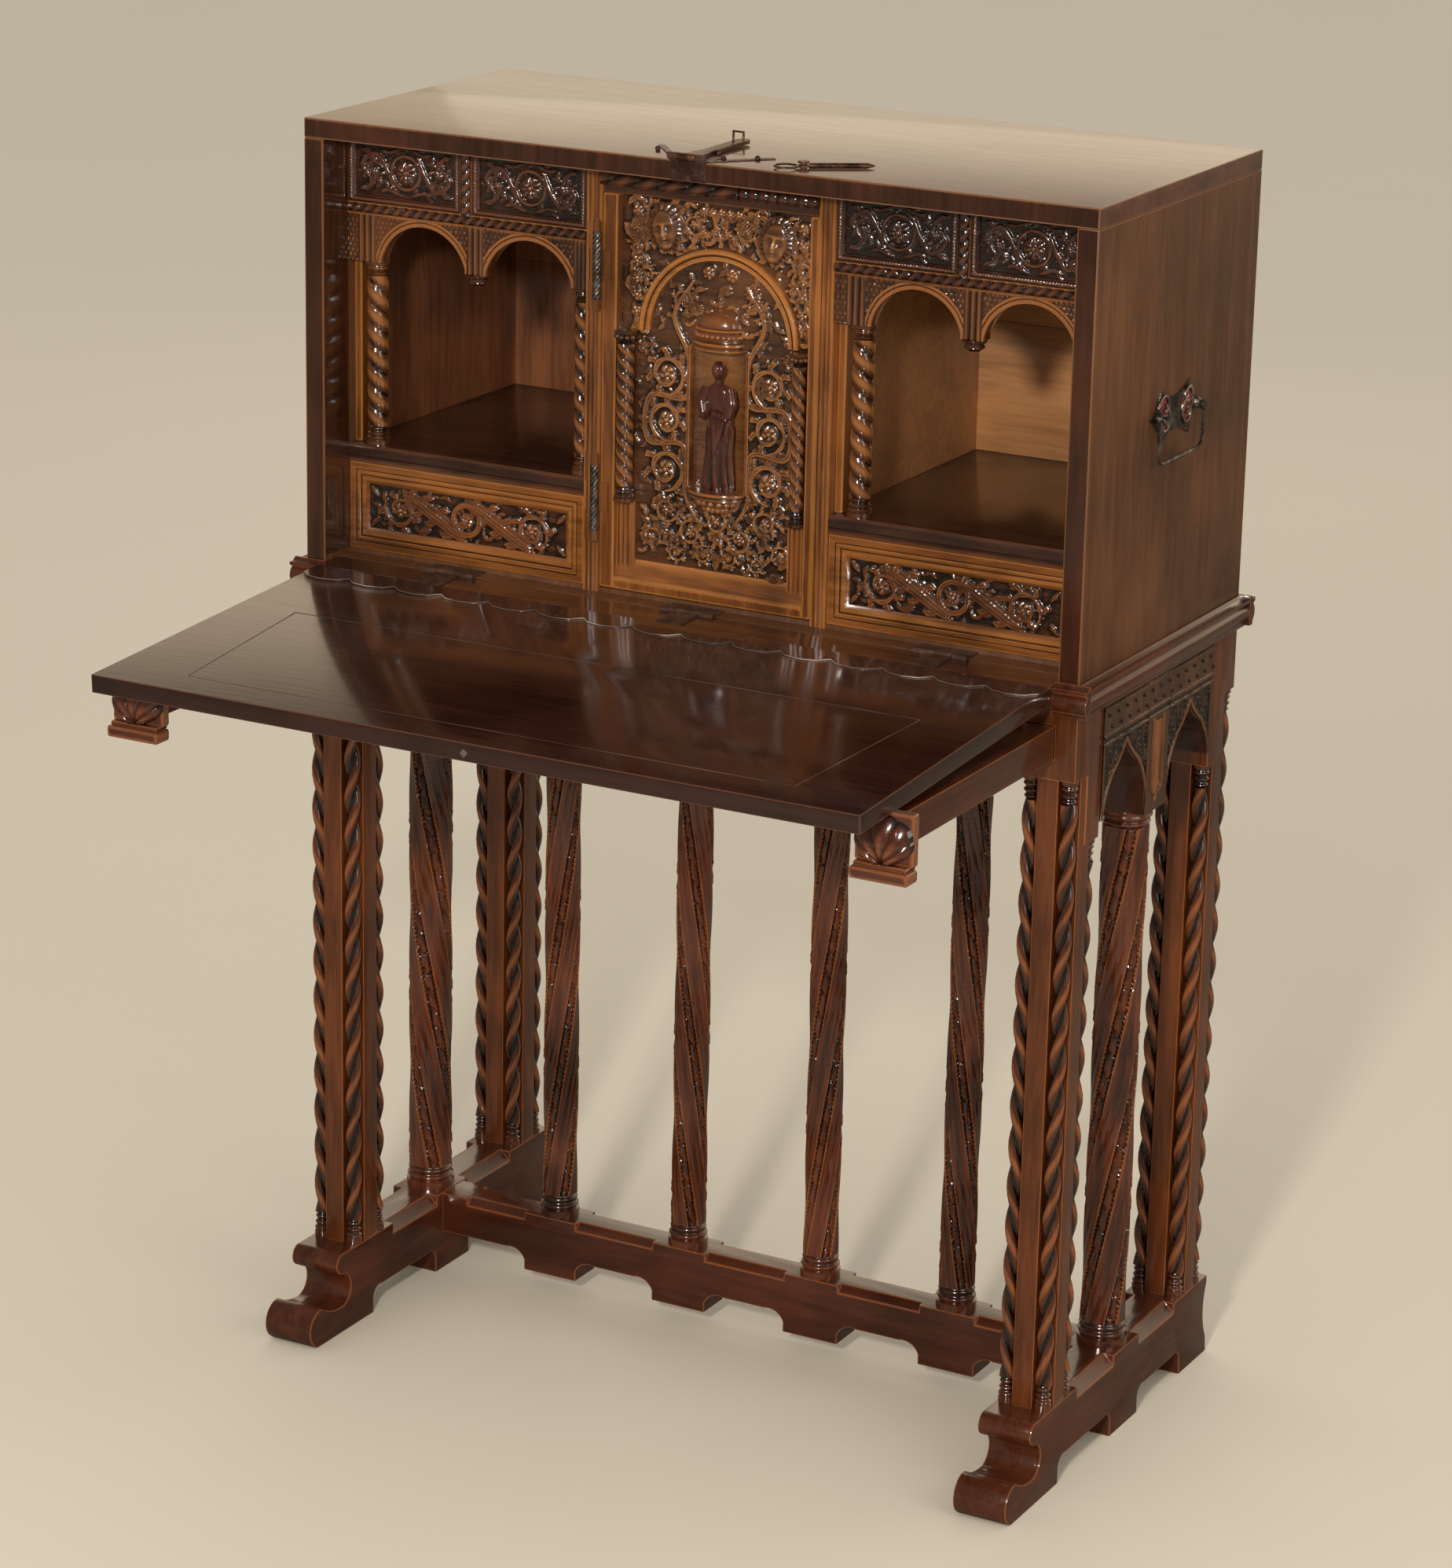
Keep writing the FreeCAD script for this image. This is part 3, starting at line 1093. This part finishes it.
# Ironwork on the top: the hasp hinge bent over the front edge, and its arm lying back

chest_level = s.stand_height + s.chest_height
axis_y, axis_z = -s.hasp_axis_out, chest_level + s.hasp_axis_up
half = s.hasp_width / 2
hx = s.hasp_shift
side_eye = s.hasp_width / 4
front_leaf = block("hasp_front_leaf", (hx - half, -s.hasp_leaf, chest_level - s.hasp_leaf_drop),
                   (hx + half, ZERO, chest_level + s.hasp_leaf))
top_leaf = block("hasp_top_leaf", (hx - half, -s.hasp_leaf, chest_level),
                 (hx + half, s.hasp_top_leaf, chest_level + s.hasp_leaf))
eyes = []
for i, a in enumerate((hx - half, hx + half - side_eye)):
    eyes.append(rod(f"hasp_eye_{i}", s.hasp_knuckle, side_eye, (a, axis_y, axis_z), "x"))
    eyes.append(block(f"hasp_web_{i}", (a, axis_y, chest_level), (a + side_eye, ZERO, axis_z)))
straps = []
for sign in (-1, 1):
    strip = block(f"hasp_strap_{sign + 1}", (ZERO, ZERO, ZERO), (s.strap_bar_width, s.strap_bar_long, s.hasp_leaf))
    strip.Placement = FreeCAD.Placement(V(0, 0, 0), FreeCAD.Rotation(V(0, 0, -sign), s.strap_bar_angle.value))
    bind(strip, "Placement.Rotation.Angle", s.strap_bar_angle)
    straps.append(place(strip, hx + sign * half - s.strap_bar_width / 2, s.strap_bar_width, chest_level))
name_node(join("hasp_plate", [front_leaf, top_leaf] + eyes + straps), "hasp_plate")

arm = new_body("hasp_arm_plate", (hx, axis_y, axis_z))
inner = half - side_eye - s.fit_gap
arm_under, arm_over = [s.hasp_thick * share for share in HASP_THICK_SHARES]
shoulder = s.hasp_width * HASP_SHOULDER_SHARE
plan = [(-inner, ZERO), (inner, ZERO), (inner, s.hasp_width / 2), (s.hasp_tip / 2, shoulder),
        (s.hasp_tip / 2, s.hasp_length - s.hasp_tip / 2),
        (-s.hasp_tip / 2, s.hasp_length - s.hasp_tip / 2, (ZERO, s.hasp_length)),
        (-s.hasp_tip / 2, shoulder), (-inner, s.hasp_width / 2)]
pad(arm, "hasp_arm_blade", "XY_Plane", plan, s.hasp_thick, (arm_over - arm_under) / 2)
arm_eye = rod("hasp_arm_eye", s.hasp_knuckle, 2 * inner, (hx - inner, axis_y, axis_z), "x")
legs = []
reach = s.staple_width / 2
for sign in (-1, 1):
    legs.append(block(f"staple_leg_{sign + 1}", (hx + sign * (reach - s.staple_wire / 2) - s.staple_wire / 2,
                                                 axis_y + s.staple_at - s.staple_wire / 2, axis_z),
                      (hx + sign * (reach - s.staple_wire / 2) + s.staple_wire / 2,
                       axis_y + s.staple_at + s.staple_wire / 2, axis_z + s.staple_height)))
legs.append(block("staple_bow", (hx - reach, axis_y + s.staple_at - s.staple_wire / 2,
                                 axis_z + s.staple_height - s.staple_wire),
                  (hx + reach, axis_y + s.staple_at + s.staple_wire / 2, axis_z + s.staple_height)))
name_node(join("hasp_arm", [arm, arm_eye] + legs), "hasp_arm")

# Ironwork on the top: the locking pin with its ring, held by an eye staple

pin_z = chest_level + s.pin_height


def flat_ring(name, radius, wire, x_mid):
    """A ring of wire laid flat, its middle at x_mid in the pin's own frame."""
    outer = straight_bar(f"{name}_outer", radius + wire, 2 * wire, THIN_SIDES)
    inner = straight_bar(f"{name}_inner", radius - wire, 2 * wire + 2 * s.overrun, THIN_SIDES)
    for piece, z in ((outer, -wire), (inner, -wire - s.overrun)):
        bind(piece, "Placement.Base.x", x_mid)
        bind(piece, "Placement.Base.z", z)
    return cut(name, outer, [inner])


half_wire = s.pin_eye_wire / 2
shank = level_rod("pin_shank", s.pin_radius, s.pin_length, s.eye_radius)
tip_radius = s.pin_radius.value * PIN_TIP_SHARE
tip_rings = [ring(0, [s.pin_radius.value] * THIN_SIDES), ring(s.pin_tip.value, [tip_radius] * THIN_SIDES)]
tip = skin("pin_point", tip_rings, (ZERO, ZERO, ZERO), 90, V(0, 1, 0))
bind(tip, "Placement.Base.x", s.eye_radius + s.pin_length)
bind(tip, "Placement.Base.y", ZERO)
pieces = [shank, tip, flat_ring("pin_eye", s.eye_radius, half_wire, ZERO),
          flat_ring("pin_pull", s.pin_ring, half_wire, -s.eye_radius - s.pin_ring)]
pin = join("locking_pin", pieces)
pin.Placement = FreeCAD.Placement(V(0, 0, 0), FreeCAD.Rotation(V(0, 0, 1), s.pin_turn.value))
bind(pin, "Placement.Rotation.Angle", s.pin_turn)
name_node(place(pin, s.pin_place, s.pin_inset, pin_z), "locking_pin")

peg_room = s.eye_radius - s.pin_eye_wire - s.run_gap
peg = rod("peg", peg_room, s.pin_height * 2, (s.pin_place, s.pin_inset, chest_level))
cap = rod("peg_cap", s.eye_radius, s.pin_eye_wire,
          (s.pin_place, s.pin_inset, chest_level + s.pin_height * 2))
name_node(join("pin_staple", [peg, cap]), "pin_staple")

# Side handles: a shaped plate with two eyed posts and a hanging bail on each end of the chest

plates = []
handle_z = s.stand_height + s.handle_rise
arm_reach = s.handle_spread / 2
for side in (-1, 1):
    plate_x = side * (half_chest + s.handle_plate_thick / 2)
    plate = new_body(f"handle_plate_{side + 1}", (plate_x, middle_depth, handle_z))
    long, high = s.handle_plate_long / 2, s.handle_plate_high / 2
    horn, waist, edge = PLATE_SHARES
    across, up, bow, dip = long * waist, high * edge, long * horn, high * horn
    outline = [
        (-long, ZERO, (-across, up)),
        (-bow, -high, (-across, -up)),
        (bow, -high, (ZERO, -dip)),
        (long, ZERO, (across, -up)),
        (bow, high, (across, up)),
        (-bow, high, (ZERO, dip)),
    ]
    pad(plate, f"handle_plate_{side + 1}_sheet", "YZ_Plane", outline, s.handle_plate_thick)
    plates.append(plate)
    for end in (-1, 1):
        plate_out = half_chest + s.handle_plate_thick
        x = plate_out if side > 0 else -plate_out - s.handle_post_out
        lug = rod(f"handle_post_{side + 1}{end + 1}", s.handle_post_radius, s.handle_post_out,
                  (x, middle_depth + end * arm_reach, handle_z), "x")
        hole = rod(f"handle_hole_{side + 1}{end + 1}", s.bail_wire / 2 + s.run_gap / 2,
                   s.handle_post_radius * 2 + 2 * s.overrun,
                   (side * (half_chest + s.handle_plate_thick + s.handle_post_out * HANDLE_HOLE_SHARE),
                    middle_depth + end * arm_reach - s.handle_post_radius - s.overrun, handle_z), "y")
        plates.append(cut(f"handle_lug_{side + 1}{end + 1}", lug, [hole]))
name_node(group("handle_plates", plates), "handle_plates")


def bail_path():
    """Half width, corner and drop of the bail, with short pivots turned in through the posts."""
    wide = (arm_reach + s.handle_post_radius + s.bail_wire).value
    drop, corner = s.bail_drop.value, s.bail_corner.value
    pivot = (arm_reach - s.handle_post_radius - s.fit_gap).value
    right = [(pivot, 0.0), (wide - s.bail_wire.value, 0.0), (wide, -s.bail_wire.value)]
    for k in range(4):
        a = math.pi / 2 * k / 3
        right.append((wide - corner + corner * math.cos(a), -drop + corner - corner * math.sin(a)))
    swell = [(wide - corner) * share for share in BAIL_SWELL_SHARES]
    right += [(y, -drop) for y in swell]
    return right + [(0.0, -drop)] + [(-y, z) for y, z in right[::-1]]


path = bail_path()
thin, thick = s.bail_wire.value / 2, s.bail_swell.value / 2
thick_reach = arm_reach.value * BAIL_THICK_SHARE
radii = [thin + (thick - thin) * max(0.0, 1 - abs(y) / thick_reach) if z <= path[6][1] else thin
         for y, z in path]
for side, hand in ((-1, "left"), (1, "right")):
    x = side * (half_chest + s.handle_plate_thick + s.handle_post_out * HANDLE_HOLE_SHARE)
    bail = tube(f"{hand}_bail", path, radii, 6, (x, middle_depth, handle_z))
    name_node(bail, f"{hand}_bail")

# Check every object and write one file for each node

doc.recompute()
troubles = [o.Name for o in doc.Objects if "Invalid" in o.State or "Error" in o.State]
for node in nodes:
    if node.Shape.isNull() or not node.Shape.isValid() or not node.Shape.Solids:
        troubles.append(node.Label)
if troubles:
    raise RuntimeError("these pieces did not build: " + ", ".join(troubles))
os.makedirs("parts", exist_ok=True)
for node in nodes:
    node.Shape.exportStep(f"parts/{node.Label}.step")
print(len(nodes), "nodes written")
